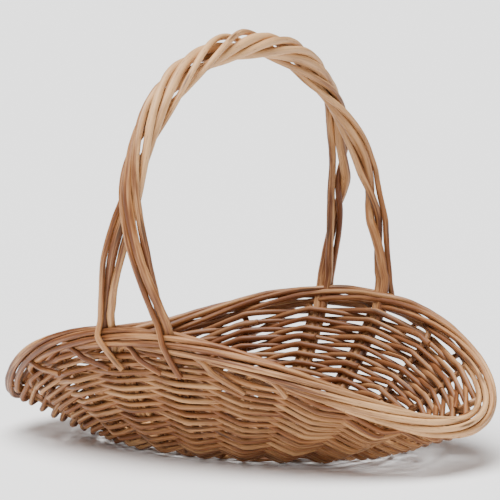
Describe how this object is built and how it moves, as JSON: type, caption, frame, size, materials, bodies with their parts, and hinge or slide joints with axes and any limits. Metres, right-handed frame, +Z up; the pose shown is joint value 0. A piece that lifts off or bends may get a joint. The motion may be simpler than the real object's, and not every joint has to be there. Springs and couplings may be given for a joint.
{
  "type": "wicker basket",
  "caption": "Shallow oval willow flower basket with a saddle-shaped rim, open randed sides and a fixed roped handle across the middle.",
  "frame": {"origin": "the ground under the middle of the rim, on the flat underside of the base", "axes": "+X along the basket towards its right-hand end, +Y across it to the far side, +Z up; the handle stands in the YZ plane"},
  "size_m": [0.4458, 0.3374, 0.3463],
  "materials": {
    "base_sticks": "satin",
    "base_weave": "satin",
    "stakes": "satin",
    "weavers": "satin",
    "handle_rods": "satin"
  },
  "bodies": {
    "root": {"base_cross_stick_01": "base_sticks", "base_cross_stick_02": "base_sticks", "base_cross_stick_03": "base_sticks", "base_cross_stick_04": "base_sticks", "base_cross_stick_05": "base_sticks", "base_long_stick_01": "base_sticks", "base_long_stick_02": "base_sticks", "base_long_stick_03": "base_sticks", "base_weave": "base_weave", "handle_rod_1": "handle_rods", "handle_rod_2": "handle_rods", "handle_rod_3": "handle_rods", "handle_rod_4": "handle_rods", "handle_thin_rod_1": "handle_rods", "handle_thin_rod_2": "handle_rods", "stake_01": "stakes", "stake_02": "stakes", "stake_03": "stakes", "stake_04": "stakes", "stake_05": "stakes", "stake_06": "stakes", "stake_07": "stakes", "stake_08": "stakes", "stake_09": "stakes", "stake_10": "stakes", "stake_11": "stakes", "stake_12": "stakes", "stake_13": "stakes", "stake_14": "stakes", "stake_15": "stakes", "stake_16": "stakes", "stake_17": "stakes", "stake_18": "stakes", "stake_19": "stakes", "stake_20": "stakes", "weaver_01": "weavers", "weaver_02": "weavers", "weaver_03": "weavers", "weaver_04": "weavers", "weaver_05": "weavers", "weaver_06": "weavers", "weaver_07": "weavers", "weaver_08": "weavers", "weaver_09": "weavers", "weaver_10": "weavers", "weaver_11": "weavers", "weaver_12": "weavers", "weaver_13": "weavers", "weaver_14": "weavers", "weaver_15": "weavers", "weaver_16": "weavers", "weaver_17": "weavers", "weaver_18": "weavers"}
  },
  "joints": []
}
